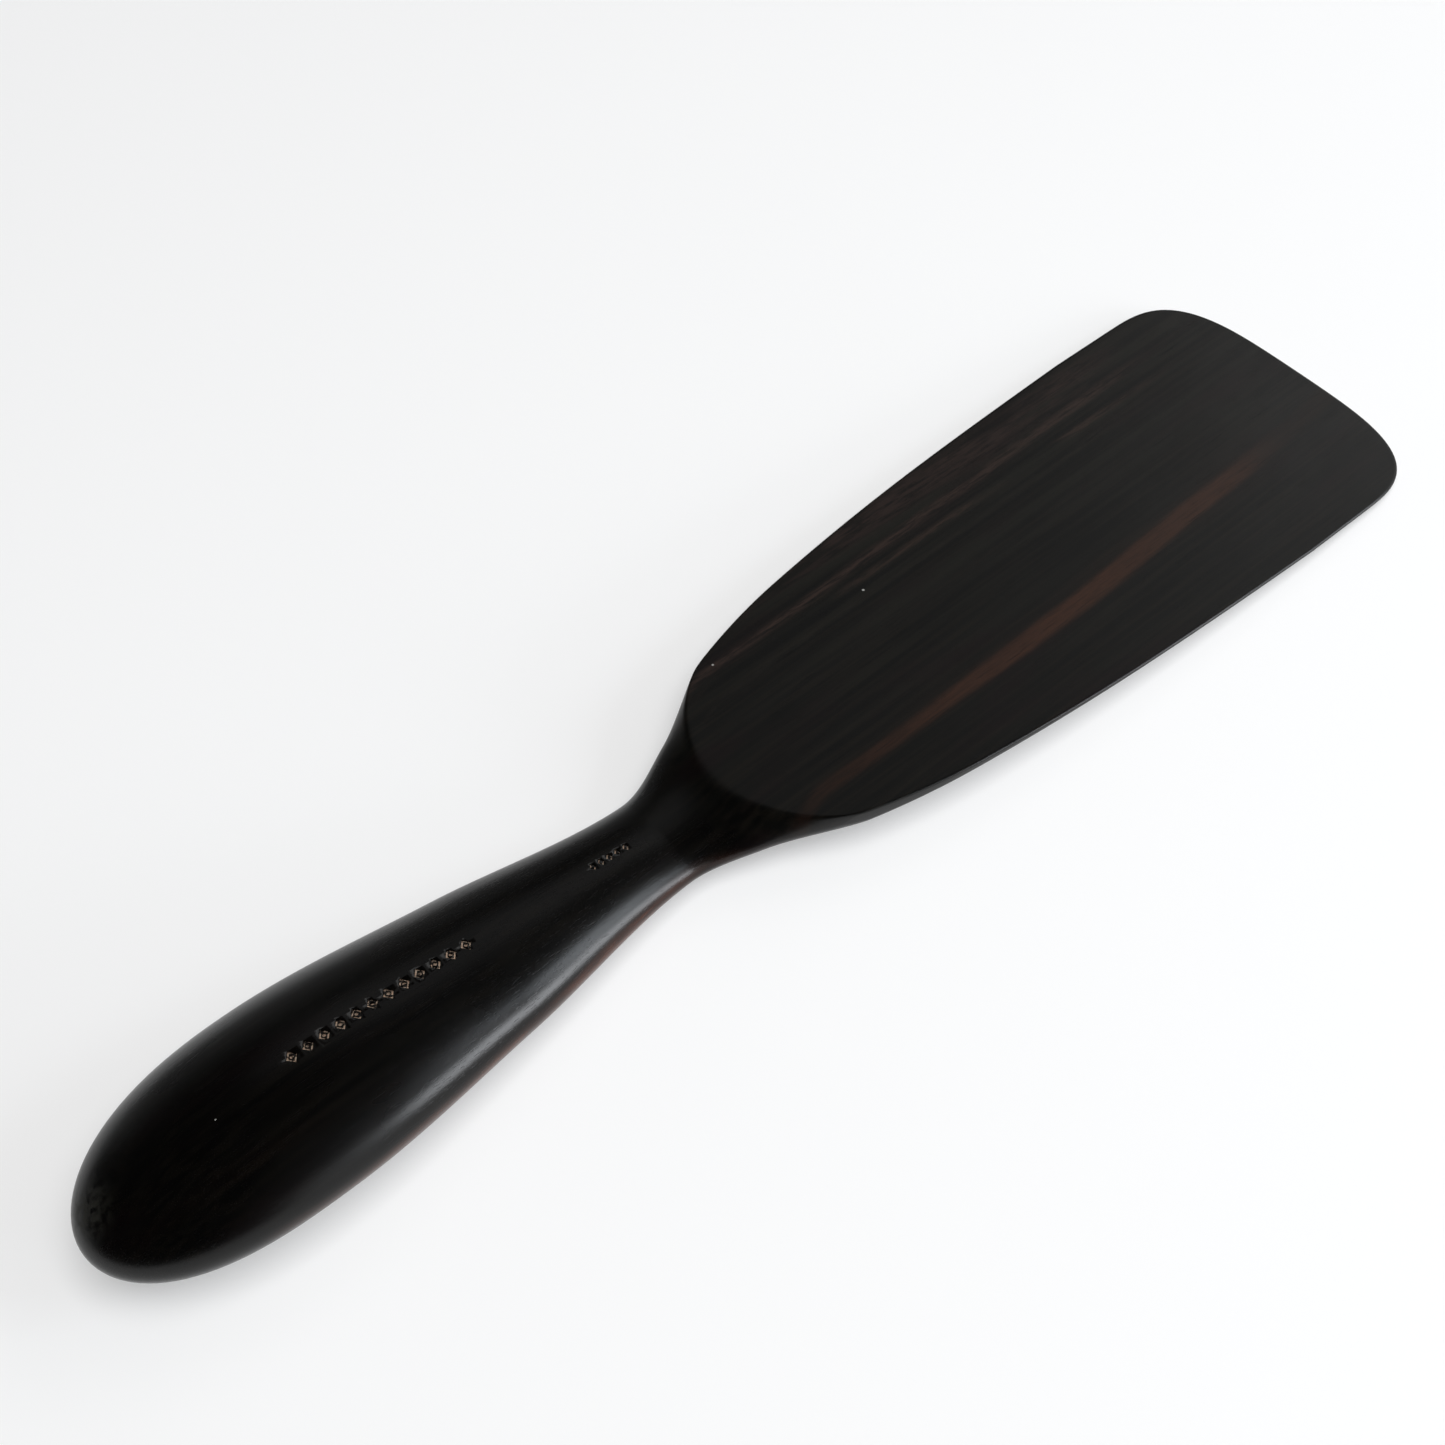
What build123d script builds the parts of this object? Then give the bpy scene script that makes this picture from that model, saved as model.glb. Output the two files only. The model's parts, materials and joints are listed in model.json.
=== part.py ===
from build123d import *
import math
import os

# A one-piece carved ebony hand spatula: a fat, flattened grip, a waisted neck and a
# thin blade with one flat face.  Lengths are in millimetres.
#
# The body is first drawn straight: X runs from the butt to the tip, Y across, and
# Z = 0 is the plane of the blade's face.  At the end it is tipped until the grip and
# the blade's tip both stand on Z = 0, and moved so that the origin lies under the
# middle of its bounding box.

# ---- Driving dimensions ----------------------------------------------------------
# Lengths along the body
butt_length = 27.0          # from the butt to the grip's widest place
taper_length = 53.5         # from there to the neck's narrowest place
neck_flare_length = 9.5     # from there to the lip, where the blade's face begins
lip_length = 11.5           # from the lip to where the thin rim begins
shoulder_length = 15.5      # over which the shoulders turn into the blade's sides
blade_length = 110.0        # from the lip to the tip
full_width_length = 25.0    # how far before the tip the blade reaches its full width

# Widths
grip_width = 26.1
taper_width = 20.9          # halfway from grip to neck
neck_width = 13.7
lip_width = 19.8            # the neck's width under the lip
rim_start_width = 31.5
shoulder_width = 38.6
blade_middle_width = 44.4   # halfway from the shoulders to the full width
blade_width = 47.0

# Thicknesses
grip_thickness = 15.2
taper_thickness = 12.1
neck_thickness = 6.6
heel_thickness = 6.3        # of the blade where its rim begins
blade_thickness = 3.3       # in the middle of the blade
tip_thickness = 1.2
rim_start_thickness = 2.0
rim_thickness = 0.7         # along the blade's two long edges

# Depth of the body's widest line below the plane of the face
butt_drop = 5.3
grip_drop = 3.45
neck_drop = 4.45
lip_drop = 3.0
rim_start_drop = 1.1

# Rounding
butt_fullness = 2.6         # of the butt seen from above: 2 is an ellipse, more is squarer
tip_fullness = 3.4          # of the blade's end, likewise
tip_rounding_length = 14.6  # over which the blade's end is rounded

# Border marks pressed into the top of the handle, with gilding left on their floors
mark_depth = 0.35
gilding_thickness = 0.06
long_row_distance = 28.7    # from the butt to the first mark's centre
long_row_pitch = 2.15
long_row_count = 12
long_mark_length = 1.5
long_mark_width = 1.75
long_mark_stroke = 0.24
long_mark_dot_width = 0.5
short_row_distance = 70.9
short_row_pitch = 1.25
short_row_count = 5
short_mark_length = 0.9
short_mark_width = 1.05
short_mark_stroke = 0.18

# The rough body is made too large, and then trimmed
overrun_length = 8.0        # how far it runs on past the tip
root_overlap_length = 3.0   # how far the blade's trimming reaches back over the neck
root_clearance = 2.8        # between the neck and the blade's trimming, at the lip
trim_room_length = 40.0     # more than any height of the body, or half of its width

# ---- Places along the body, from the butt ----------------------------------------
grip_x = butt_length
neck_x = grip_x + taper_length
taper_x = (grip_x + neck_x) / 2
lip_x = neck_x + neck_flare_length
rim_x = lip_x + lip_length
shoulder_x = rim_x + shoulder_length
tip_x = lip_x + blade_length
full_x = tip_x - full_width_length
middle_x = (shoulder_x + full_x) / 2
root_x = lip_x - root_overlap_length
end_x = tip_x + overrun_length


# ---- Lines that the carving follows ----------------------------------------------
def line_through(points, x):
    """Height of a smooth line through (x, height) points, with no overshoot."""
    if x <= points[0][0]:
        return points[0][1]
    if x >= points[-1][0]:
        return points[-1][1]
    slopes = [(b[1] - a[1]) / (b[0] - a[0]) for a, b in zip(points, points[1:])]
    inner = [
        2 * before * after / (before + after) if before * after > 0 else 0.0
        for before, after in zip(slopes, slopes[1:])
    ]
    first = 1.5 * slopes[0] - 0.5 * inner[0]
    last = 1.5 * slopes[-1] - 0.5 * inner[-1]
    tangents = [first, *inner, last]
    i = max(k for k in range(len(slopes)) if points[k][0] <= x)
    span = points[i + 1][0] - points[i][0]
    t = (x - points[i][0]) / span
    start = (1 - t) ** 2 * ((1 + 2 * t) * points[i][1] + t * span * tangents[i])
    end = t ** 2 * ((3 - 2 * t) * points[i + 1][1] - (1 - t) * span * tangents[i + 1])
    return start + end


def butt_rounding(x):
    """Share of the full section that the rounded butt has reached."""
    if x >= grip_x:
        return 1.0
    return math.sqrt(1 - (1 - x / grip_x) ** butt_fullness)


def outline_half_width(x):
    """Half-width of the finished body seen from above, before the blade's end is
    rounded."""
    points = [
        (0.0, grip_width / 2),
        (grip_x, grip_width / 2),
        (taper_x, taper_width / 2),
        (neck_x, neck_width / 2),
        (lip_x, lip_width / 2),
        (rim_x, rim_start_width / 2),
        (shoulder_x, shoulder_width / 2),
        (middle_x, blade_middle_width / 2),
        (full_x, blade_width / 2),
    ]
    return line_through(points, x) * butt_rounding(x)


def trimming_half_width(x):
    """Half-width that the blade is trimmed to.  Towards the neck it stands clear of
    the body, so that the rim fades out behind the lip."""
    before_rim = max(0.0, (rim_x - x) / lip_length)
    return outline_half_width(x) + root_clearance * before_rim ** 2


def blade_depth(x):
    """Thickness of the blade on its centre line."""
    points = [
        (rim_x, heel_thickness),
        (middle_x, blade_thickness),
        (tip_x, tip_thickness),
    ]
    return line_through(points, x)


def rim(x):
    """Thickness of the blade's edge."""
    points = [
        (rim_x, rim_start_thickness),
        (shoulder_x, (rim_start_thickness + 2 * rim_thickness) / 3),
        (middle_x, rim_thickness),
    ]
    return line_through(points, x)


def waist(x):
    """Height of the widest line of the section."""
    points = [
        (0.0, -butt_drop),
        (grip_x, -grip_drop),
        (neck_x, -neck_drop),
        (lip_x, -lip_drop),
        (rim_x, -rim_start_drop),
        (shoulder_x, 0.0),
    ]
    return line_through(points, x)


def beyond_rim(x):
    """How much wider than the outline the rough body is, so that trimming the blade to
    its outline leaves an edge of the rim's thickness."""
    if x <= lip_x:
        return 1.0
    share = (rim(x) + waist(x)) / (blade_depth(x) + waist(x))
    past_lip = min((x - lip_x) / lip_length, 1.0)
    return 1 / math.sqrt(1 - (share * past_lip) ** 2)


def half_width(x):
    """Half-width of the rough body."""
    return outline_half_width(x) * beyond_rim(x)


def top(x):
    """Top of the rough body on its centre line.  Past the neck it climbs through the
    plane of the face, which then slices it off along the rounded lip."""
    if x < neck_x:
        points = [
            (0.0, grip_thickness / 2),
            (grip_x, grip_thickness / 2),
            (taper_x, taper_thickness / 2),
            (neck_x, neck_thickness / 2),
        ]
        return waist(x) + line_through(points, x) * butt_rounding(x)
    neck_top = neck_thickness / 2 - neck_drop
    climb = ((min(x, rim_x) - neck_x) / neck_flare_length) ** 3
    return neck_top * (1 - climb)


def bottom(x):
    """Underside of the rough body on its centre line."""
    if x < neck_x:
        return 2 * waist(x) - top(x)
    points = [
        (neck_x, -neck_drop - neck_thickness / 2),
        (rim_x, -heel_thickness),
        (middle_x, -blade_thickness),
        (tip_x, -tip_thickness),
    ]
    return line_through(points, x)


# ---- Body ------------------------------------------------------------------------
def section(x):
    """Closed section of the rough body: half an ellipse above its widest line and
    half an ellipse below."""
    plane = Plane(origin=(x, 0, waist(x)), x_dir=(0, 1, 0), z_dir=(1, 0, 0))
    width = half_width(x)
    upper = Edge.make_ellipse(width, top(x) - waist(x), plane, 0, 180)
    lower = Edge.make_ellipse(width, waist(x) - bottom(x), plane, 180, 360)
    return Wire([upper, lower])


def evenly(start, end, count):
    """Places from start up to, but not including, end."""
    return [start + (end - start) * i / count for i in range(count)]


def make_rough_body():
    butt = [butt_length * (1 - math.cos(math.radians(a))) for a in (15, 30, 45, 65)]
    handle = evenly(grip_x, neck_x, 8)
    heel = evenly(neck_x, shoulder_x, 10)
    blade = evenly(shoulder_x, end_x, 10)
    sections = [section(x) for x in butt + handle + heel + blade + [end_x]]
    return Solid.make_loft([Vertex(0, 0, waist(0)), *sections])


def make_blade_outline():
    """The blade's outline seen from above, squared off across the neck, where it is
    wider than the rough body."""
    rounding_x = tip_x - tip_rounding_length
    long_side = evenly(root_x, rim_x, 3) + evenly(rim_x, shoulder_x, 3)
    long_side += evenly(shoulder_x, rounding_x, 5)
    points = [(x, trimming_half_width(x)) for x in long_side]
    for angle in (0, 12, 25, 45, 62, 78):
        along = math.sin(math.radians(angle)) ** (2 / tip_fullness)
        across = math.cos(math.radians(angle)) ** (2 / tip_fullness)
        x = rounding_x + tip_rounding_length * along
        points.append((x, trimming_half_width(x) * across))
    first_step = (points[1][0] - points[0][0], points[1][1] - points[0][1])
    side = Spline(*points, (tip_x, 0), tangents=[first_step, (0, -1)])
    across_neck = Line((root_x, -points[0][1]), (root_x, points[0][1]))
    return make_face([side, across_neck, side.mirror(Plane.XZ)])


def make_body():
    """The rough body, trimmed to the blade's outline and sliced flat along its face."""
    blade_room = extrude(make_blade_outline(), -trim_room_length)
    handle_centre = Pos((root_x - trim_room_length) / 2, 0, 0)
    handle_room = handle_centre * Box(
        root_x + trim_room_length, 2 * trim_room_length, 2 * trim_room_length
    )
    return make_rough_body() & (handle_room + blade_room)


# ---- Border marks ----------------------------------------------------------------
def on_top(x):
    """Plane that lies on the top of the handle, X along the handle."""
    reach = 0.5
    rise = (top(x + reach) - top(x - reach)) / (2 * reach)
    return Plane(origin=(x, 0, top(x)), x_dir=(1, 0, rise), z_dir=(-rise, 0, 1))


def lozenge(length, width):
    corners = [(-length / 2, 0), (0, width / 2), (length / 2, 0), (0, -width / 2)]
    return make_face(Polyline(*corners, close=True))


def lozenge_ring(length, width, stroke):
    to_side = length * width / 2 / math.hypot(length, width)
    share = 1 - stroke / to_side
    return lozenge(length, width) - lozenge(length * share, width * share)


def row_places(start, pitch, count):
    return [on_top(start + pitch * i) for i in range(count)]


def groove(place, mark):
    """What is pressed out of the handle for one mark."""
    return extrude(place.offset(-mark_depth) * mark, 2 * mark_depth)


def gilded_floor(place, mark):
    """Gilding on the floor of one mark's groove."""
    return extrude(place.offset(-mark_depth) * mark, gilding_thickness)


def press_row(body, places, mark):
    """Presses a row of marks, and returns the body and the gilding left in them."""
    grooves = [solid for place in places for solid in groove(place, mark).solids()]
    floors = [solid for place in places for solid in gilded_floor(place, mark).solids()]
    return body - grooves, Compound(floors)


# ---- How it lies on a surface ----------------------------------------------------
def resting_angle():
    """Angle between the face and the line under both the tip and the grip."""
    places = evenly(0, neck_x, 200)
    slope = max((-tip_thickness - bottom(x)) / (tip_x - x) for x in places)
    return math.degrees(math.atan(slope))


def resting_place():
    """Moves the straight body so that it rests on Z = 0, with the origin under its
    middle."""
    angle = resting_angle()
    cosine = math.cos(math.radians(angle))
    sine = math.sin(math.radians(angle))
    butt_end = waist(0) * sine
    tip_end = tip_x * cosine
    lift = tip_x * sine + tip_thickness * cosine
    return Pos(-(butt_end + tip_end) / 2, 0, lift) * Rot(0, angle, 0)


# ---- Assembly --------------------------------------------------------------------
long_mark = lozenge_ring(long_mark_length, long_mark_width, long_mark_stroke)
long_mark += Circle(long_mark_dot_width / 2)
short_mark = lozenge_ring(short_mark_length, short_mark_width, short_mark_stroke)
long_row = row_places(long_row_distance, long_row_pitch, long_row_count)
short_row = row_places(short_row_distance, short_row_pitch, short_row_count)

body = make_body()
body, long_gilding = press_row(body, long_row, long_mark)
body, short_gilding = press_row(body, short_row, short_mark)

nodes = {
    "ebony_body": body,
    "long_border_gilding": long_gilding,
    "short_border_gilding": short_gilding,
}
place = resting_place()
os.makedirs("parts", exist_ok=True)
for name, shape in nodes.items():
    export_step(place * shape, "parts/" + name + ".step")
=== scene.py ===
import json
import math

import bpy
from mathutils import Matrix, Vector, noise


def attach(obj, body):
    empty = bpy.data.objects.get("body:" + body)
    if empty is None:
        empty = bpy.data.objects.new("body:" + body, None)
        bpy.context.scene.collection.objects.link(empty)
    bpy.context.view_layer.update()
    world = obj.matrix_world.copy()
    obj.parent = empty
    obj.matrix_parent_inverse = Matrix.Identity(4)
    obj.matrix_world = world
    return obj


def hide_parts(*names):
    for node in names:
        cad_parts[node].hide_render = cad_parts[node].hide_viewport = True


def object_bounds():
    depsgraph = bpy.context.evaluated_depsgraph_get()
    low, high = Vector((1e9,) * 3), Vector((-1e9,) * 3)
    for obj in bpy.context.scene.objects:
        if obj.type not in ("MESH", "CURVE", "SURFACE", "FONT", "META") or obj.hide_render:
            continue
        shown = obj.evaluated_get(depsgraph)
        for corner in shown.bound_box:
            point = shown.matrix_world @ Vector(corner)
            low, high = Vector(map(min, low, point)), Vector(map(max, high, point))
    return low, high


# The looks of a one-piece carved ebony hand spatula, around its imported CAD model.
# Lengths are in metres.  The body is drawn straight, with X from the butt to the tip,
# Y across and Z = 0 on the blade's flat face, and then laid where the CAD body lies.

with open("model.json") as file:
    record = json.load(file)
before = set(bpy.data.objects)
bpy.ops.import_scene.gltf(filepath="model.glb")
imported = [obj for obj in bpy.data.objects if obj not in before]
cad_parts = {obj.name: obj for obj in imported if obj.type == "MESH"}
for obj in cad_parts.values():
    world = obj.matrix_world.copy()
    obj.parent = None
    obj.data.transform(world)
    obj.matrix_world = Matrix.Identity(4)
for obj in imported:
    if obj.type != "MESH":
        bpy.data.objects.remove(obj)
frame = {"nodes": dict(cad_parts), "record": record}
cad_low, cad_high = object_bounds()
MM = 0.001

# ---- Sizes of the carved body ------------------------------------------------------
LENGTH = 200.0 * MM
GRIP_X = 27.0 * MM           # where the rounded butt ends and the grip is widest
TAPER_X = 53.75 * MM         # halfway from there to the neck
NECK_X = 80.5 * MM           # the narrowest place
LIP_X = 90.0 * MM            # where the flat face starts, on the centre line
RIM_X = 101.5 * MM           # where the blade's rim starts
SHOULDER_X = 117.0 * MM
MIDDLE_X = 146.0 * MM        # halfway from the shoulder to the full width
FULL_X = 175.0 * MM          # where the blade has its full width
ROUNDING = 14.6 * MM         # length of the blade's rounded end
END_X = LENGTH - ROUNDING

GRIP_WIDTH = 26.1 * MM
TAPER_WIDTH = 20.9 * MM
NECK_WIDTH = 13.7 * MM
LIP_WIDTH = 19.8 * MM
RIM_START_WIDTH = 31.5 * MM
SHOULDER_WIDTH = 38.6 * MM
MIDDLE_WIDTH = 44.4 * MM
BLADE_WIDTH = 47.0 * MM

GRIP_THICKNESS = 15.2 * MM
TAPER_THICKNESS = 12.1 * MM
NECK_THICKNESS = 6.6 * MM
HEEL_THICKNESS = 6.3 * MM    # this and the next two are on the blade's centre line
BLADE_THICKNESS = 3.3 * MM
TIP_THICKNESS = 1.2 * MM
RIM_START_THICKNESS = 2.0 * MM
RIM_THICKNESS = 0.7 * MM     # from the middle of the blade to its tip

BUTT_DROP = 5.3 * MM         # drops are from the flat face to the section's widest line
GRIP_DROP = 3.45 * MM
NECK_DROP = 4.45 * MM
LIP_DROP = 3.0 * MM
RIM_START_DROP = 1.1 * MM

BUTT_FULLNESS = 2.6          # a fullness of 2 is a round curve, and more is squarer
TIP_FULLNESS = 3.4
ROOT_CLEARANCE = 2.8 * MM    # between the neck and the blade's trimming, at the lip
EDGE_SOFTNESS = 0.4 * MM     # width over which the trimmed edge runs out on the neck
LIP_SOFTNESS = 0.3 * MM      # height over which the lip turns into the flat face
RIM_RADIUS = 0.31 * MM       # of the rounding on both edges of the blade's rim
ROUNDED_SHARE = 0.45         # share of the rim's thickness that each rounding may take
HAND_WAVE = 0.035 * MM       # how far the hand-finished surface waves up and down
WAVES_ALONG = 55             # about how many waves a metre along the body would have
WAVES_ACROSS = 90            # and a metre across it


# ---- Lines that the carving follows ------------------------------------------------
def line_through(points, x):
    """Height of a smooth line through (x, height) points, with no overshoot.  At each
    point within, its slope is the harmonic mean of those beside it, or level at a turn."""
    if x <= points[0][0]:
        return points[0][1]
    if x >= points[-1][0]:
        return points[-1][1]
    slopes = [(b[1] - a[1]) / (b[0] - a[0]) for a, b in zip(points, points[1:])]
    inner = [
        2 * before * after / (before + after) if before * after > 0 else 0.0
        for before, after in zip(slopes, slopes[1:])
    ]
    first = 1.5 * slopes[0] - 0.5 * inner[0]
    last = 1.5 * slopes[-1] - 0.5 * inner[-1]
    tangents = [first, *inner, last]
    i = max(k for k in range(len(slopes)) if points[k][0] <= x)
    span = points[i + 1][0] - points[i][0]
    t = (x - points[i][0]) / span
    start = (1 - t) ** 2 * ((1 + 2 * t) * points[i][1] + t * span * tangents[i])
    end = t ** 2 * ((3 - 2 * t) * points[i + 1][1] - (1 - t) * span * tangents[i + 1])
    return start + end


def butt_rounding(x):
    """Share of the full section that the rounded butt has reached."""
    if x >= GRIP_X:
        return 1.0
    return math.sqrt(max(0.0, 1 - (1 - x / GRIP_X) ** BUTT_FULLNESS))


def waist(x):
    """Height of the widest line of the section."""
    points = [
        (0.0, -BUTT_DROP),
        (GRIP_X, -GRIP_DROP),
        (NECK_X, -NECK_DROP),
        (LIP_X, -LIP_DROP),
        (RIM_X, -RIM_START_DROP),
        (SHOULDER_X, 0.0),
    ]
    return line_through(points, x)


def outline_half_width(x):
    """Half-width seen from above, before the blade's end is rounded."""
    points = [
        (0.0, GRIP_WIDTH / 2),
        (GRIP_X, GRIP_WIDTH / 2),
        (TAPER_X, TAPER_WIDTH / 2),
        (NECK_X, NECK_WIDTH / 2),
        (LIP_X, LIP_WIDTH / 2),
        (RIM_X, RIM_START_WIDTH / 2),
        (SHOULDER_X, SHOULDER_WIDTH / 2),
        (MIDDLE_X, MIDDLE_WIDTH / 2),
        (FULL_X, BLADE_WIDTH / 2),
    ]
    return line_through(points, x) * butt_rounding(x)


def trimming_half_width(x):
    """Half-width that the blade is trimmed to, clear of the body towards the neck."""
    before_rim = max(0.0, (RIM_X - x) / (RIM_X - LIP_X))
    return outline_half_width(x) + ROOT_CLEARANCE * before_rim ** 2


def blade_depth(x):
    """Thickness of the blade on its centre line."""
    points = [
        (RIM_X, HEEL_THICKNESS),
        (MIDDLE_X, BLADE_THICKNESS),
        (LENGTH, TIP_THICKNESS),
    ]
    return line_through(points, x)


def rim(x):
    """Thickness of the blade's edge."""
    points = [
        (RIM_X, RIM_START_THICKNESS),
        (SHOULDER_X, (RIM_START_THICKNESS + 2 * RIM_THICKNESS) / 3),
        (MIDDLE_X, RIM_THICKNESS),
    ]
    return line_through(points, x)


def billet_half_width(x):
    """Half-width of the carved billet, which is wider than the blade by as much as
    leaves the rim's thickness."""
    if x <= LIP_X:
        return outline_half_width(x)
    share = (rim(x) + waist(x)) / (blade_depth(x) + waist(x))
    past_lip = min((x - LIP_X) / (RIM_X - LIP_X), 1.0)
    return outline_half_width(x) / math.sqrt(1 - (share * past_lip) ** 2)


def top(x):
    """Top of the billet on its centre line."""
    if x < NECK_X:
        points = [
            (0.0, GRIP_THICKNESS / 2),
            (GRIP_X, GRIP_THICKNESS / 2),
            (TAPER_X, TAPER_THICKNESS / 2),
            (NECK_X, NECK_THICKNESS / 2),
        ]
        return waist(x) + line_through(points, x) * butt_rounding(x)
    climb = ((min(x, RIM_X) - NECK_X) / (LIP_X - NECK_X)) ** 3
    return (NECK_THICKNESS / 2 - NECK_DROP) * (1 - climb)


def bottom(x):
    """Underside of the billet on its centre line."""
    if x < NECK_X:
        return 2 * waist(x) - top(x)
    points = [
        (NECK_X, -NECK_DROP - NECK_THICKNESS / 2),
        (RIM_X, -HEEL_THICKNESS),
        (MIDDLE_X, -BLADE_THICKNESS),
        (LENGTH, -TIP_THICKNESS),
    ]
    return line_through(points, x)


# ---- Where the CAD body lies -------------------------------------------------------
def laying():
    """Turns and moves the straight body to where the CAD body lies.  The mount gives
    the blade's face, and the CAD box gives the tip."""
    mount = frame["record"]["mounts"][0]
    face_point = Vector(mount["pos_m"])
    up = Vector(mount["axis"]).normalized()
    along = Vector((up.z, 0, -up.x))
    tip = face_point + along * ((cad_high.x - face_point.x) / along.x)
    across = Vector((0, 1, 0))
    turn = Matrix((along, across, up)).transposed()
    return Matrix.Translation(tip - along * LENGTH) @ turn.to_4x4()


LAID = laying()


# ---- Modelling helpers -------------------------------------------------------------
MERGE_DISTANCE = 0.001 * MM  # points closer than this become one


def only(piece):
    """Leaves one piece selected and active."""
    bpy.ops.object.select_all(action="DESELECT")
    piece.select_set(True)
    bpy.context.view_layer.objects.active = piece


def steps(start, end, count):
    """Places from start up to, but not including, end."""
    return [start + (end - start) * i / count for i in range(count)]


# ---- Body --------------------------------------------------------------------------
ACROSS = 96                  # squares across each side of the body
BUTT_RINGS = 30
HANDLE_RINGS = 54
LIP_RINGS = 66
BLADE_RINGS = 130
END_RINGS = 30
NEAR_ZERO = 1e-9             # stands for the half-width where the butt ends in a point


def stations():
    """Places of the rings along the body, closest where it curves most."""
    past_lip = RIM_X + 2 * MM
    butt = [GRIP_X * (1 - math.cos(math.radians(a))) for a in steps(0, 90, BUTT_RINGS)]
    handle = steps(GRIP_X, NECK_X, HANDLE_RINGS)
    lip = steps(NECK_X, past_lip, LIP_RINGS)
    blade = steps(past_lip, END_X, BLADE_RINGS)
    sines = [math.sin(math.radians(a)) for a in steps(0, 90, END_RINGS)]
    end = [END_X + ROUNDING * s ** (2 / TIP_FULLNESS) for s in sines]
    return butt + handle + lip + blade + end


def end_curve(share):
    """Curve of the blade's rounded end, from 1 at a share of 0 down to 0 at 1."""
    return (1 - share ** TIP_FULLNESS) ** (1 / TIP_FULLNESS)


def rounded(distance, radius):
    """Drop of a rounded edge at a distance from it."""
    if distance >= radius:
        return 0.0
    return radius - math.sqrt(radius ** 2 - (radius - distance) ** 2)


def soft_lesser(a, b, softness):
    """The lesser of two lengths, with the corner between them rounded."""
    overlap = max(softness - abs(a - b), 0.0)
    return min(a, b) - overlap ** 2 / (4 * softness)


def finished_half_width(x):
    """Half-width of the finished body seen from above."""
    if x <= LIP_X:
        return billet_half_width(x)
    trimmed = soft_lesser(billet_half_width(x), trimming_half_width(x), EDGE_SOFTNESS)
    return trimmed * end_curve(max(0.0, (x - END_X) / ROUNDING))


def rim_distance(x, y, edge):
    """About how far a point is from the blade's rim."""
    beside = max(edge - abs(y), 0.0)
    if x < END_X or beside == 0:
        return beside
    share = min(abs(y) / trimming_half_width(x), 1.0)
    ahead = END_X + ROUNDING * end_curve(share) - x
    return beside * max(ahead, 0.0) / math.hypot(beside, ahead)


class Ring:
    """The finished section of the body at one station."""

    def __init__(self, x):
        self.x = x
        self.edge = finished_half_width(x)
        self.billet = max(billet_half_width(x), NEAR_ZERO)
        self.waist = waist(x)
        self.rise = top(x) - self.waist
        self.fall = self.waist - bottom(x)
        wall = self.upper(self.edge) - self.lower(self.edge)
        self.radius = min(RIM_RADIUS, ROUNDED_SHARE * wall)

    def bow(self, y):
        """How much of its full height the section has at y."""
        return math.sqrt(max(0.0, 1 - (y / self.billet) ** 2))

    def upper(self, y):
        """Height of the upper side, which the flat face cuts off past the neck."""
        height = self.waist + self.rise * self.bow(y)
        if self.x < NECK_X:
            return height
        return soft_lesser(height, 0.0, LIP_SOFTNESS)

    def lower(self, y):
        """Height of the underside."""
        return self.waist - self.fall * self.bow(y)

    def point(self, turn):
        """Point at a turn about the ring: 0 to ACROSS over the top, then back below."""
        above = turn <= ACROSS
        angle = math.pi * (turn if above else 2 * ACROSS + 1 - turn) / ACROSS
        y = self.edge * math.cos(angle)
        drop = 0.0
        if self.radius > 0:
            drop = rounded(rim_distance(self.x, y, self.edge), self.radius)
        z = self.upper(y) - drop if above else self.lower(y) + drop
        side = 1.0 if above else -1.0
        wave = noise.noise(Vector((self.x * WAVES_ALONG, y * WAVES_ACROSS, side)))
        z += HAND_WAVE * wave * self.bow(y)
        return Vector((self.x, y, z))


def carve_body():
    """A sheet of squares wrapped round the billet, joined along its seam and closed at
    its ends."""
    rings = [Ring(x) for x in stations()]
    along = len(rings) - 1
    around = 2 * ACROSS + 2
    bpy.ops.mesh.primitive_grid_add(x_subdivisions=along, y_subdivisions=around, size=1)
    body = bpy.context.object
    body.name = "carved_ebony_body"
    for vertex in body.data.vertices:
        ring = rings[round((vertex.co.x + 0.5) * along)]
        turn = round((vertex.co.y + 0.5) * around) % around
        vertex.co = LAID @ ring.point(turn)
    bpy.ops.object.mode_set(mode="EDIT")
    bpy.ops.mesh.select_all(action="SELECT")
    bpy.ops.mesh.remove_doubles(threshold=MERGE_DISTANCE)
    bpy.ops.mesh.select_all(action="DESELECT")
    bpy.ops.mesh.select_mode(type="EDGE")
    bpy.ops.mesh.select_non_manifold()
    bpy.ops.mesh.edge_face_add()
    bpy.ops.mesh.select_all(action="SELECT")
    bpy.ops.mesh.normals_make_consistent(inside=False)
    bpy.ops.object.mode_set(mode="OBJECT")
    return body


body = carve_body()


# ---- Pressed border marks ----------------------------------------------------------
PRESS_REACH = 0.8 * MM       # from the gilding up past the handle's top
FACING_UP = 0.9              # least Z of the normal of a face that looks up


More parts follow.
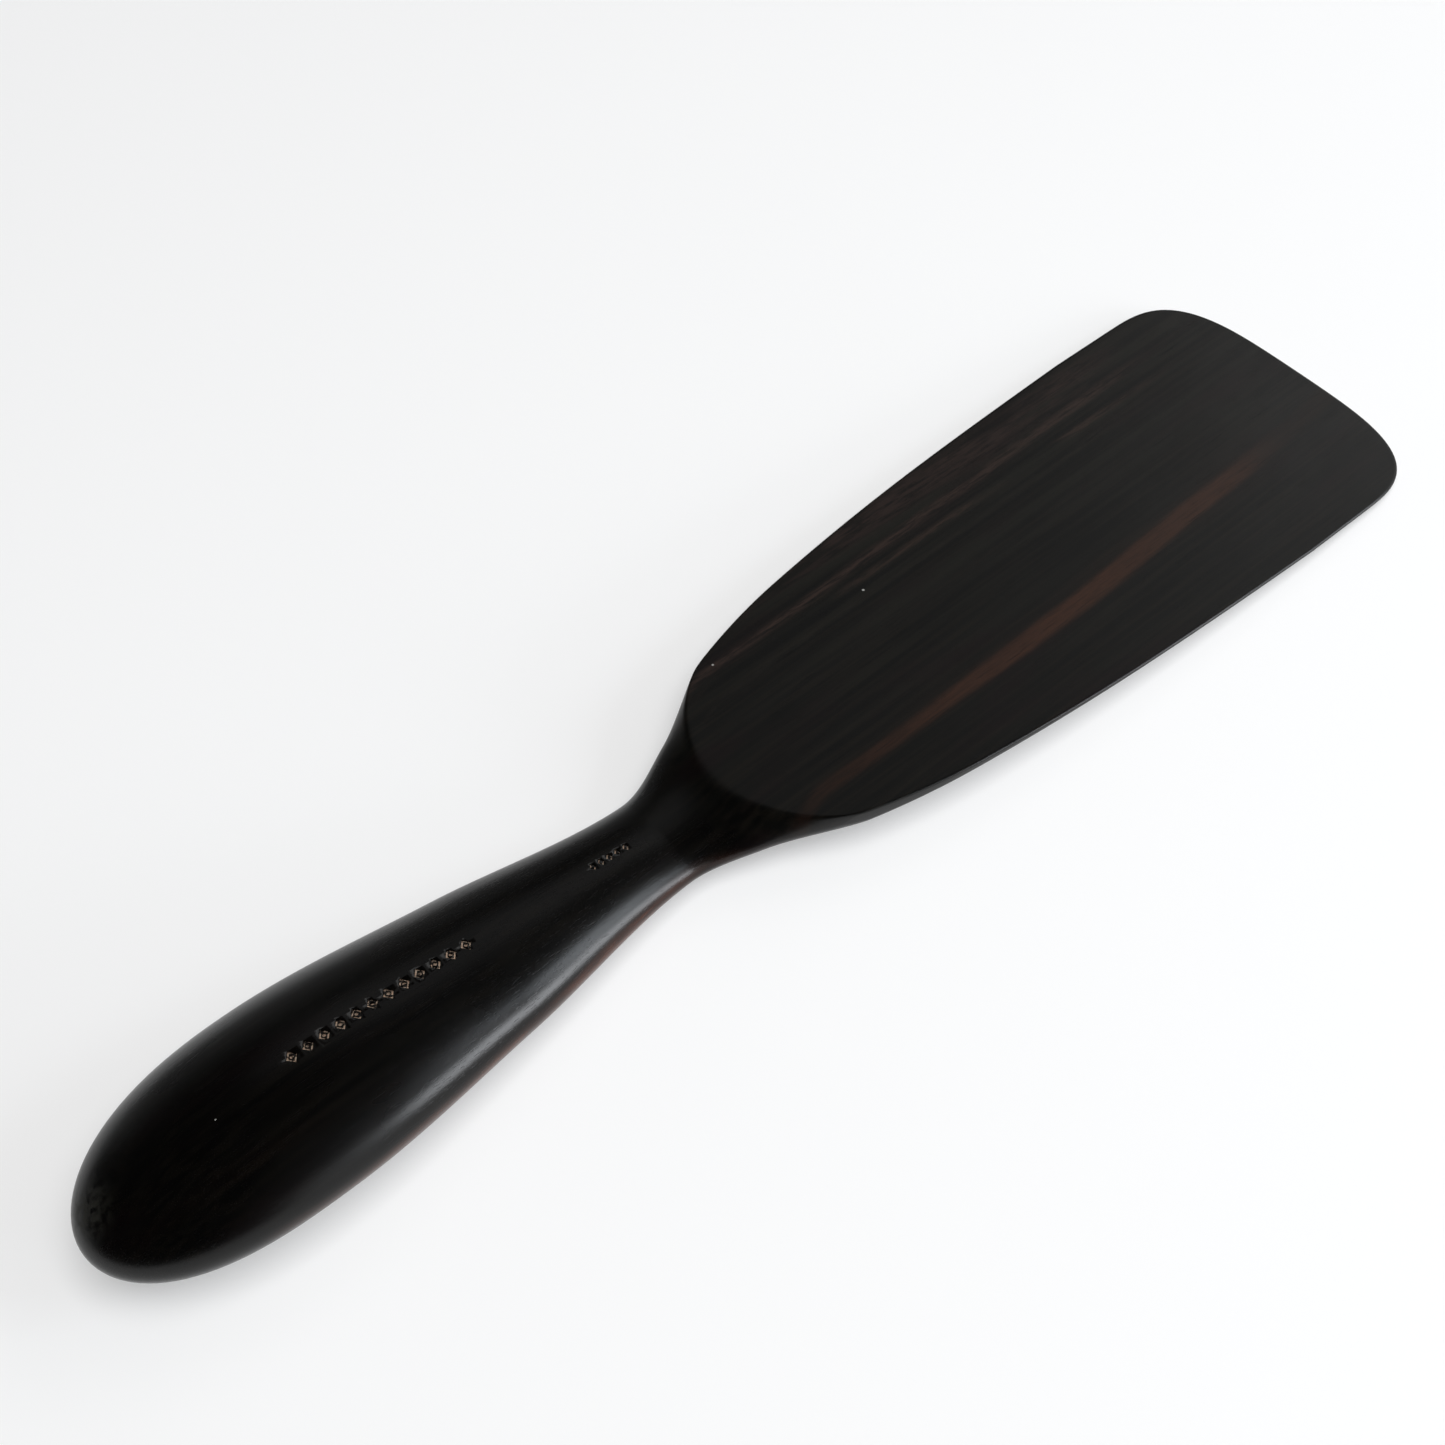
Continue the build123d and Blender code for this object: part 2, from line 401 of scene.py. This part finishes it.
def press_marks(node):
    """Presses a row of marks into the body.  The gilding that lies on the floors of the
    CAD body's grooves gives their shape and place."""
    marks = frame["nodes"][node]
    cutter = marks.copy()
    cutter.data = marks.data.copy()
    bpy.context.collection.objects.link(cutter)
    cutter.parent = None
    only(cutter)
    bpy.ops.object.mode_set(mode="EDIT")
    bpy.ops.mesh.select_all(action="SELECT")
    bpy.ops.mesh.remove_doubles(threshold=MERGE_DISTANCE)
    bpy.ops.mesh.select_all(action="DESELECT")
    bpy.ops.object.mode_set(mode="OBJECT")
    for face in cutter.data.polygons:
        face.select = face.normal.z > FACING_UP
    bpy.ops.object.mode_set(mode="EDIT")
    bpy.ops.mesh.select_mode(type="FACE")
    bpy.ops.mesh.extrude_region_move(TRANSFORM_OT_translate={"value": (0, 0, PRESS_REACH)})
    bpy.ops.object.mode_set(mode="OBJECT")
    only(body)
    press = body.modifiers.new("press", "BOOLEAN")
    press.operation = "DIFFERENCE"
    press.solver = "EXACT"
    press.object = cutter
    bpy.ops.object.modifier_apply(modifier=press.name)
    bpy.data.objects.remove(cutter)


press_marks("long_border_gilding")
press_marks("short_border_gilding")
bpy.ops.object.shade_smooth_by_angle(angle=math.radians(40))
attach(body, "root")
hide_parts("ebony_body")


# ---- Material helpers --------------------------------------------------------------
class Graph:
    """Adds nodes to a node tree.  An input is a plain value or another node's output."""

    def __init__(self, tree):
        self.tree = tree

    def feed(self, socket, value):
        """Gives a socket its input."""
        if isinstance(value, bpy.types.NodeSocket):
            self.tree.links.new(value, socket)
        else:
            socket.default_value = value

    def add(self, kind, inputs, **settings):
        """A new node with its inputs and settings."""
        node = self.tree.nodes.new(kind)
        for key, value in settings.items():
            setattr(node, key, value)
        for key, value in inputs.items():
            self.feed(node.inputs[key], value)
        return node

    def group(self, tree, inputs):
        """What a shared effect puts out for these inputs."""
        return self.add("ShaderNodeGroup", inputs, node_tree=tree).outputs

    def math(self, operation, first, second=0.0):
        """One step of reckoning with values."""
        return self.add("ShaderNodeMath", {0: first, 1: second}, operation=operation).outputs[0]

    def product(self, first, *others):
        """All the values multiplied together."""
        for other in others:
            first = self.math("MULTIPLY", first, other)
        return first

    def vector(self, operation, first, second):
        """One step of reckoning with places."""
        inputs = {0: first, 1: second}
        return self.add("ShaderNodeVectorMath", inputs, operation=operation).outputs["Vector"]

    def distance(self, first, second):
        """How far one place is from another."""
        inputs = {0: first, 1: second}
        return self.add("ShaderNodeVectorMath", inputs, operation="DISTANCE").outputs["Value"]

    def parts(self, place):
        """The X, Y and Z of a place."""
        return self.add("ShaderNodeSeparateXYZ", {0: place}).outputs

    def noise(self, place, scale, shift=(0, 0, 0), turn=0.0, detail=2.0, roughness=0.5):
        """Noise of about one wave per unit of the place, after it is scaled, turned about
        Z and shifted."""
        moved = {"Vector": place, "Scale": scale, "Rotation": (0, 0, turn), "Location": shift}
        moved_place = self.add("ShaderNodeMapping", moved).outputs["Vector"]
        inputs = {"Vector": moved_place, "Scale": 1.0, "Detail": detail, "Roughness": roughness}
        return self.add("ShaderNodeTexNoise", inputs).outputs["Fac"]

    def ramp(self, value, low, high, start=0.0, end=1.0):
        """Smooth change from start to end, as the value goes from low to high."""
        inputs = {"Value": value, "From Min": low, "From Max": high, "To Min": start, "To Max": end}
        node = self.add("ShaderNodeMapRange", inputs, interpolation_type="SMOOTHSTEP")
        return node.outputs["Result"]

    def mix(self, share, first, second):
        """Colour between two others."""
        node = self.add("ShaderNodeMix", {0: share}, data_type="RGBA")
        for socket, colour in ((node.inputs[6], first), (node.inputs[7], second)):
            self.feed(socket, (*colour, 1.0) if isinstance(colour, tuple) else colour)
        return node.outputs[2]

    def relief(self, height, depth):
        """Normal of a surface with relief, whose height of 1 stands for depth in metres."""
        inputs = {"Height": height, "Strength": 1.0, "Distance": depth}
        return self.add("ShaderNodeBump", inputs).outputs["Normal"]


def new_effect(name, inputs, output, kind):
    """A shader node group, a graph to fill it, what it is given, and the socket for what
    it puts out.  Inputs are (name, kind, value)."""
    tree = bpy.data.node_groups.new(name, "ShaderNodeTree")
    for label, input_kind, value in inputs:
        socket = tree.interface.new_socket(label, in_out="INPUT", socket_type="NodeSocket" + input_kind)
        if value is not None:
            socket.default_value = value
    tree.interface.new_socket(output, in_out="OUTPUT", socket_type="NodeSocket" + kind)
    graph = Graph(tree)
    given = graph.add("NodeGroupInput", {}).outputs
    result = graph.add("NodeGroupOutput", {}).inputs[output]
    return graph, given, result


def new_material(name):
    """A material, a graph to fill it and its Principled shader's inputs."""
    material = bpy.data.materials.new(name)
    material.use_nodes = True
    return material, Graph(material.node_tree), material.node_tree.nodes["Principled BSDF"].inputs


# ---- Effects that the materials share ----------------------------------------------
# Places in the effects and finishes are in millimetres on the straight body.  A scale is
# in waves per millimetre along it, across it and upwards, so grain has a low first one.
STREAK_START = 115.0         # the place along the body for which a centre is given
STREAK_RUN = 80.0            # how much further on the full slope and bow are reached
BEND_REACH = 3.0             # how strongly a wander of 1 bends a streak
GAP_SOFTNESS = 0.08          # how softly the gaps in a streak start and end
DUST_CELLS = 0.22            # cells per millimetre, each with one speck at most
SPECK_RADII = (0.008, 0.024)  # least and greatest, in cells


def body_place_effect():
    """Place on the straight body: X from the butt, Y across, Z above the blade's face."""
    graph, given, result = new_effect("place on body", [], "Place", "Vector")
    back = LAID.inverted()
    inputs = {
        "Vector": graph.add("ShaderNodeTexCoord", {}).outputs["Object"],
        "Scale": (1 / MM, 1 / MM, 1 / MM),
        "Rotation": back.to_euler(),
        "Location": back.translation / MM,
    }
    graph.feed(result, graph.add("ShaderNodeMapping", inputs).outputs["Vector"])
    return graph.tree


def streak_effect():
    """A streak of lighter wood that runs along the grain."""
    inputs = [
        ("Place", "Vector", None),
        ("Centre", "Float", 0.0),
        ("Slope", "Float", 0.0),
        ("Bow", "Float", 0.0),
        ("Half Width", "Float", 1.0),
        ("Softness", "Float", 0.5),
        ("Wander", "Float", 0.5),
        ("Breaks", "Float", 0.0),
        ("Seed", "Float", 0.0),
    ]
    graph, given, result = new_effect("streak in the wood", inputs, "Mask", "Float")
    x, y = graph.parts(given["Place"])[:2]
    seed = graph.add("ShaderNodeCombineXYZ", {"Z": given["Seed"]}).outputs[0]
    own_place = graph.vector("ADD", given["Place"], seed)
    own_line = graph.vector("ADD", graph.vector("MULTIPLY", given["Place"], (1, 0, 0)), seed)

    # The line that the streak's middle follows, with slow bends and a frayed edge
    run = graph.math("DIVIDE", graph.math("SUBTRACT", x, STREAK_START), STREAK_RUN)
    slope = graph.product(run, given["Slope"])
    bow = graph.product(run, run, given["Bow"])
    bend = graph.math("SUBTRACT", graph.noise(own_line, (0.022, 1, 1)), 0.5)
    fray = graph.math("SUBTRACT", graph.noise(own_place, (0.12, 1.6, 1.6), detail=3), 0.5)
    sway = graph.product(bend, graph.product(given["Wander"], BEND_REACH))
    sway = graph.math("ADD", sway, graph.product(fray, given["Softness"]))
    middle = graph.math("ADD", graph.math("ADD", given["Centre"], slope), graph.math("ADD", bow, sway))

    # Its soft edges, and the gaps in it
    offset = graph.math("ABSOLUTE", graph.math("SUBTRACT", y, middle))
    outer = graph.math("ADD", given["Half Width"], given["Softness"])
    inner = graph.math("SUBTRACT", given["Half Width"], given["Softness"])
    gaps = graph.noise(own_place, (0.045, 0.35, 0.35), detail=3)
    low = graph.math("SUBTRACT", given["Breaks"], GAP_SOFTNESS)
    high = graph.math("ADD", given["Breaks"], GAP_SOFTNESS)
    mask = graph.product(graph.ramp(offset, inner, outer, 1.0, 0.0), graph.ramp(gaps, low, high))
    graph.feed(result, mask)
    return graph.tree


def dust_effect():
    """A few fine specks of dust."""
    inputs = [("Place", "Vector", None), ("Amount", "Float", 0.1)]
    graph, given, result = new_effect("specks of dust", inputs, "Mask", "Float")
    cell_inputs = {"Vector": given["Place"], "Scale": DUST_CELLS, "Randomness": 1.0}
    cells = graph.add("ShaderNodeTexVoronoi", cell_inputs).outputs
    chances = graph.add("ShaderNodeSeparateColor", {0: cells["Color"]}).outputs
    radius = graph.ramp(chances["Green"], 0.0, 1.0, *SPECK_RADII)
    near = graph.math("LESS_THAN", cells["Distance"], radius)
    chosen = graph.math("LESS_THAN", chances["Red"], given["Amount"])
    graph.feed(result, graph.product(near, chosen))
    return graph.tree


body_place = body_place_effect()
streak = streak_effect()
dust = dust_effect()


# ---- Ebony -------------------------------------------------------------------------
BLACK = (0.0004, 0.0004, 0.0002)
GREY_GRAIN = (0.0038, 0.0029, 0.0018)
GREY_BAND = (0.0064, 0.0060, 0.0042)
RED_CLOUD = (0.0034, 0.0010, 0.0012)
DARK_PORE = (0.0005, 0.0004, 0.0004)
WAXED_BLACK = (0.0003, 0.0002, 0.0002)
LAYER_BROWN = (0.0560, 0.0180, 0.0090)
# paler grey of a patch on the butt's end
PALE_PATCH_GREY = (0.0120, 0.0115, 0.0088)
PALE_DUST = (0.55, 0.55, 0.52)

WAX_END = (84, 94)           # where the handle's wax runs out
# middle of the paler patch on the butt's end
PALE_PATCH_PLACE = (3.0, 1.8, -1.5)
LAYER_CROSSING = 140.0       # where the brown layer's edge would cross the centre line
LAYER_SLOPE = 0.115          # how steeply it would cross
WAX_IOR = 1.38
EBONY_RELIEF = 0.010 * MM    # in metres

# Each streak: centre and half-width across the body, how far its slope and its bow carry
# it by the blade's end, softness, wander, how much of it is missing, seed, strength and
# colour
STREAKS = [
    (-9.85, 1.25, 0.0, 3.7, 0.55, 0.50, 0.12, 3.1, 1.00, (0.0300, 0.0120, 0.0064)),
    (-9.40, 2.30, 0.0, 3.5, 1.20, 1.10, 0.42, 8.3, 0.22, (0.0110, 0.0050, 0.0030)),
    (14.10, 0.62, 3.2, -0.6, 0.60, 0.35, 0.30, 14.7, 1.00, (0.0215, 0.0128, 0.0100)),
    (12.10, 0.45, 0.5, 0.0, 0.45, 0.40, 0.45, 21.9, 0.95, (0.0180, 0.0108, 0.0080)),
    (19.00, 1.90, 1.0, 0.0, 1.50, 0.80, 0.42, 33.2, 0.90, (0.0155, 0.0092, 0.0076)),
    (9.20, 0.40, 0.5, 1.0, 0.35, 1.00, 0.47, 41.5, 0.70, (0.0072, 0.0058, 0.0042)),
    (4.00, 1.30, 0.0, 0.5, 1.10, 1.20, 0.47, 55.4, 0.50, (0.0050, 0.0042, 0.0032)),
]

# Place and radius of each larger fleck of dust
FLECKS = [
    ((125.0, 10.6, 0.0), 0.24),
    ((101.9, 14.0, 0.0), 0.20),
    ((52.0, -8.6, 0.4), 0.16),
]


class Spot:
    """The place that a finish is worked out for, whole and in its three directions."""

    def __init__(self, graph):
        self.place = graph.group(body_place, {})["Place"]
        self.along, self.across, self.height = graph.parts(self.place)


def black_wood(graph, spot):
    """Colour of black wood with faint grain, greyer bands and reddish clouds."""
    grain = graph.noise(spot.place, (0.03, 1.3, 1.3), detail=4, roughness=0.6)
    colour = graph.mix(graph.ramp(grain, 0.42, 0.66), BLACK, GREY_GRAIN)
    bands = graph.noise(spot.place, (0.012, 0.55, 0.55), (5, 2, 8), detail=3)
    far_side = graph.ramp(spot.across, -16, 16, 0.15, 0.75)
    on_blade = graph.ramp(spot.along, 100, 130, 0.5, 1)
    banded = graph.product(graph.ramp(bands, 0.46, 0.66), far_side, on_blade)
    colour = graph.mix(banded, colour, GREY_BAND)
    clouds = graph.noise(spot.place, (0.035, 0.16, 0.16), (7, 3, 1))
    reddish = graph.product(graph.ramp(clouds, 0.50, 0.72), 0.6)
    return graph.mix(reddish, colour, RED_CLOUD)


def streaked(graph, spot, colour):
    """The colour with brown streaks, strongest in the middle of the blade.  Near its heel
    they fade and turn aside."""
    past_shoulder = graph.ramp(spot.along, 102, 128, 0.4, 1)
    far_side = graph.ramp(spot.across, 2, 6)
    short_of_tip = graph.ramp(spot.along, 170, 190, 1, 0.1)
    past_heel = graph.ramp(spot.along, 89, 103, 0.10, 1)
    mottle = graph.noise(spot.place, (0.20, 2.3, 2.3), (4, 1, 6), detail=5, roughness=0.7)
    least = graph.ramp(spot.across, 0, 6, 0.66, 0.15)
    mottled = graph.ramp(mottle, 0.40, 0.56, least, 1.12)
    either = graph.math("MAXIMUM", past_shoulder, far_side)
    shown = graph.product(either, short_of_tip, past_heel, mottled)
    widening = graph.ramp(spot.along, 112, 150, 0.75, 1.15)
    aside = graph.ramp(spot.along, 91, 100, 2.4, 0)
    shift = graph.add("ShaderNodeCombineXYZ", {"Y": aside}).outputs[0]
    turned = graph.vector("ADD", spot.place, shift)
    for centre, half_width, slope, bow, softness, wander, breaks, seed, strength, tint in STREAKS:
        inputs = {
            "Place": turned,
            "Centre": centre,
            "Slope": slope,
            "Bow": bow,
            "Half Width": graph.product(widening, half_width),
            "Softness": softness,
            "Wander": wander,
            "Breaks": breaks,
            "Seed": seed,
        }
        mask = graph.product(graph.group(streak, inputs)["Mask"], shown, strength)
        colour = graph.mix(mask, colour, tint)
    return colour


def open_pores(graph, spot):
    """Short dashes along the grain, fainter on the handle."""
    dashes = graph.noise(spot.place, (0.14, 5.5, 5.5), roughness=0.55)
    on_blade = graph.ramp(spot.along, 92, 104, 0.7, 1)
    return graph.product(graph.ramp(dashes, 0.59, 0.69), on_blade)


def brown_layer(graph, spot):
    """The brown streak where it comes out again, low on the handle's near side."""
    from_crossing = graph.math("SUBTRACT", LAYER_CROSSING, spot.along)
    flank = graph.math("ADD", spot.across, graph.product(from_crossing, LAYER_SLOPE))
    threads = graph.noise(spot.place, (0.05, 0.9, 0.9), (3, 8, 2), detail=3)
    on_flank = graph.ramp(flank, 0.8, 2.4, 1, 0)
    low_down = graph.ramp(spot.height, -4.0, -2.4, 1, 0)
    past_butt = graph.ramp(spot.along, 15, 45, 0.3, 1)
    short_of_neck = graph.ramp(spot.along, 72, 84, 1, 0.2)
    short_of_heel = graph.ramp(spot.along, 92, 101, 1, 0)
    threaded = graph.ramp(threads, 0.36, 0.60, 0.4, 1)
    return graph.product(on_flank, low_down, past_butt, short_of_neck, short_of_heel, threaded)


def pale_butt_patch(graph, spot):
    """A patchy, paler and duller patch on the end of the butt."""
    close = graph.ramp(graph.distance(spot.place, PALE_PATCH_PLACE), 0.6, 4.4, 1, 0)
    patches = graph.noise(spot.place, (1, 1, 1), detail=3)
    return graph.product(close, graph.ramp(patches, 0.36, 0.62))


def dust_and_flecks(graph, spot):
    """Specks of dust, and the larger flecks."""
    specks = graph.group(dust, {"Place": spot.place, "Amount": 0.09})["Mask"]
    for place, radius in FLECKS:
        fleck = graph.ramp(graph.distance(spot.place, place), 0.4 * radius, radius, 1, 0)
        specks = graph.math("MAXIMUM", specks, fleck)
    return specks


def wax_roughness(graph, spot, pores, dulled):
    """Roughness of the wax: a sheen on the handle, duller on the blade, in the pores, on the
    paler patch at the butt and where it is dusty."""
    handling = graph.noise(spot.place, (0.05, 0.12, 0.12), (2, 9, 4), detail=3)
    rough = graph.ramp(handling, 0.35, 0.65, 0.25, 0.30)
    rough = graph.math("ADD", rough, graph.ramp(spot.along, *WAX_END, 0.0, 0.08))
    rough = graph.math("ADD", rough, graph.product(pores, 0.08))
    return graph.math("ADD", rough, graph.product(dulled, 0.3))


def fine_relief(graph, spot, pores):
    """Height of the fine grain, less the pores and a few faint scratches."""
    fine = graph.noise(spot.place, (0.06, 3.2, 3.2), (1, 5, 2), detail=3, roughness=0.6)
    scratches = graph.noise(spot.place, (0.06, 4.0, 1.0), turn=0.5, detail=1)
    scratched = graph.ramp(scratches, 0.69, 0.74)
    height = graph.math("SUBTRACT", graph.product(fine, 0.5), graph.product(pores, 0.5))
    return graph.math("SUBTRACT", height, graph.product(scratched, 0.12))


def ebony_material():
    """Black wood with brown streaks and open pores, waxed on the handle, with a paler,
    duller patch on the butt's end and a little dusty."""
    material, graph, shader = new_material("waxed ebony")
    spot = Spot(graph)
    pores = open_pores(graph, spot)
    waxed = graph.ramp(spot.along, *WAX_END, 0.6, 0.0)
    # a paler, duller patch on the butt's end
    pale_patch = pale_butt_patch(graph, spot)
    specks = dust_and_flecks(graph, spot)
    dulled = graph.math("MAXIMUM", specks, pale_patch)
    colour = streaked(graph, spot, black_wood(graph, spot))
    colour = graph.mix(graph.product(pores, 0.55), colour, DARK_PORE)
    colour = graph.mix(waxed, colour, WAXED_BLACK)
    colour = graph.mix(brown_layer(graph, spot), colour, LAYER_BROWN)
    # paler grey over that patch on the butt's end
    colour = graph.mix(pale_patch, colour, PALE_PATCH_GREY)
    colour = graph.mix(graph.product(specks, 0.5), colour, PALE_DUST)
    graph.feed(shader["Base Color"], colour)
    graph.feed(shader["Roughness"], wax_roughness(graph, spot, pores, dulled))
    shader["IOR"].default_value = WAX_IOR
    graph.feed(shader["Normal"], graph.relief(fine_relief(graph, spot, pores), EBONY_RELIEF))
    return material


# ---- Gilding -----------------------------------------------------------------------
RED_GOLD = (0.92, 0.62, 0.44)
PALE_GOLD = (1.0, 0.79, 0.61)
BARE_FLOOR = (0.0060, 0.0042, 0.0034)
GREY_DUST = (0.45, 0.44, 0.42)
GOLD_METALLIC = 0.76
GILDING_RELIEF = 0.03 * MM   # in metres


def gilding_material():
    """Gold leaf, worn off in patches down to the floor of the marks."""
    material, graph, shader = new_material("worn gilding")
    place = graph.group(body_place, {})["Place"]
    wear = graph.noise(place, (1.3, 2.2, 2.2), detail=4, roughness=0.65)
    left = graph.ramp(wear, 0.45, 0.54)
    tone = graph.noise(place, (4, 4, 4))
    gold = graph.mix(graph.ramp(tone, 0.3, 0.7), RED_GOLD, PALE_GOLD)
    specks = graph.group(dust, {"Place": place, "Amount": 0.05})["Mask"]
    colour = graph.mix(specks, graph.mix(left, BARE_FLOOR, gold), GREY_DUST)
    graph.feed(shader["Base Color"], colour)
    graph.feed(shader["Metallic"], graph.product(left, GOLD_METALLIC))
    graph.feed(shader["Roughness"], graph.ramp(tone, 0.2, 0.8, 0.34, 0.55))
    graph.feed(shader["Normal"], graph.relief(wear, GILDING_RELIEF))
    return material


body.data.materials.clear()
body.data.materials.append(ebony_material())
gilding = gilding_material()
for node in ("long_border_gilding", "short_border_gilding"):
    frame["nodes"][node].data.materials.clear()
    frame["nodes"][node].data.materials.append(gilding)


# ---- Stage -------------------------------------------------------------------------
CAMERA_PLACE = Vector((-13.92, -120.31, 216.61)) * MM
CAMERA_AIM = Vector((96.71, 6.20, 0.0)) * MM
SENSOR_WIDTH = 36.0          # the sensor and the lens are in millimetres
LENS = 54.81
CLIP_START = 0.01
DIM_LIGHT = 0.03             # strength of the light from all round
FLOOR_SIZE = 6.0
PAPER_WHITE = (0.93, 0.93, 0.93, 1)
PAPER_GLOW = 0.35            # share of the paper's look that no shadow darkens


def add_camera():
    """A camera above the butt's near side that looks at the blade's heel.  Its place and
    its aim are given on the straight body."""
    eye = LAID @ CAMERA_PLACE
    forward = (LAID @ CAMERA_AIM - eye).normalized()
    right = forward.cross(LAID.to_3x3() @ Vector((0, 0, 1))).normalized()
    turn = Matrix((right, right.cross(forward), -forward)).transposed()
    bpy.ops.object.camera_add(location=eye, rotation=turn.to_euler())
    camera = bpy.context.object
    camera.data.sensor_width = SENSOR_WIDTH
    camera.data.lens = LENS
    camera.data.clip_start = CLIP_START
    bpy.context.scene.camera = camera


def soft_box(name, azimuth, height, distance, size, level, tint=(1, 1, 1), seen=True):
    """A soft lamp that looks at the middle of the body.  Azimuth and height are angles
    in degrees, and level is how bright its face is."""
    middle = (cad_low + cad_high) / 2
    sideways = Matrix.Rotation(math.radians(azimuth), 3, "Z")
    upwards = Matrix.Rotation(-math.radians(height), 3, "Y")
    direction = sideways @ upwards @ Vector((1, 0, 0))
    turn = direction.to_track_quat("Z", "Y").to_euler()
    bpy.ops.object.light_add(type="AREA", location=middle + direction * distance, rotation=turn)
    lamp = bpy.context.object
    lamp.name = name
    lamp.data.shape = "RECTANGLE"
    lamp.data.size, lamp.data.size_y = size
    lamp.data.energy = level * size[0] * size[1] * math.pi
    lamp.data.color = tint
    lamp.visible_glossy = seen


def add_lamps():
    """A window that shines along the handle's near side, dimmer walls that the face and
    the flanks mirror, and daylight from above that nothing mirrors."""
    soft_box("window_lamp", -58, 8, 0.9, (0.45, 0.31), 12.0, (0.93, 0.96, 1.0))
    soft_box("window_top_lamp", -43, 27, 0.9, (0.30, 0.28), 8.5, (0.88, 0.94, 1.0))
    soft_box("window_edge_lamp", -88, 9, 0.9, (0.26, 0.34), 1.0)
    soft_box("far_wall_lamp", -2, 29, 2.0, (2.1, 0.92), 1.7)
    soft_box("far_corner_lamp", 46, 50, 2.0, (1.2, 0.72), 0.35)
    soft_box("near_wall_lamp", 85, 12, 1.0, (1.1, 0.55), 0.14)
    soft_box("daylight_lamp", -90, 76, 1.2, (0.9, 0.9), 4.4, seen=False)


def add_world():
    """A dim, even light from all round."""
    world = bpy.data.worlds.new("dim studio")
    bpy.context.scene.world = world
    world.use_nodes = True
    background = world.node_tree.nodes["Background"].inputs
    background["Color"].default_value = (1, 1, 1, 1)
    background["Strength"].default_value = DIM_LIGHT


def paper_material():
    """White paper.  What looks straight at it, or mirrors it, sees it near white."""
    material, graph, shader = new_material("white paper")
    shader["Base Color"].default_value = PAPER_WHITE
    shader["Roughness"].default_value = 1.0
    shader["Specular IOR Level"].default_value = 0.0
    ray = graph.add("ShaderNodeLightPath", {}).outputs
    seen = graph.math("ADD", ray["Is Camera Ray"], ray["Is Glossy Ray"])
    seen = graph.math("ADD", seen, ray["Is Transmission Ray"])
    glow = graph.add("ShaderNodeEmission", {"Strength": 1.0}).outputs[0]
    paper = material.node_tree.nodes["Principled BSDF"].outputs[0]
    inputs = {0: graph.product(seen, PAPER_GLOW), 1: paper, 2: glow}
    mixed = graph.add("ShaderNodeMixShader", inputs).outputs[0]
    graph.feed(material.node_tree.nodes["Material Output"].inputs["Surface"], mixed)
    return material


def add_floor():
    """A floor of that paper, with the body's shadow on it."""
    bpy.ops.mesh.primitive_plane_add(size=FLOOR_SIZE)
    floor = bpy.context.object
    floor.name = "floor"
    floor.data.materials.append(paper_material())


add_camera()
add_lamps()
add_world()
add_floor()
bpy.context.scene.view_settings.view_transform = "Standard"
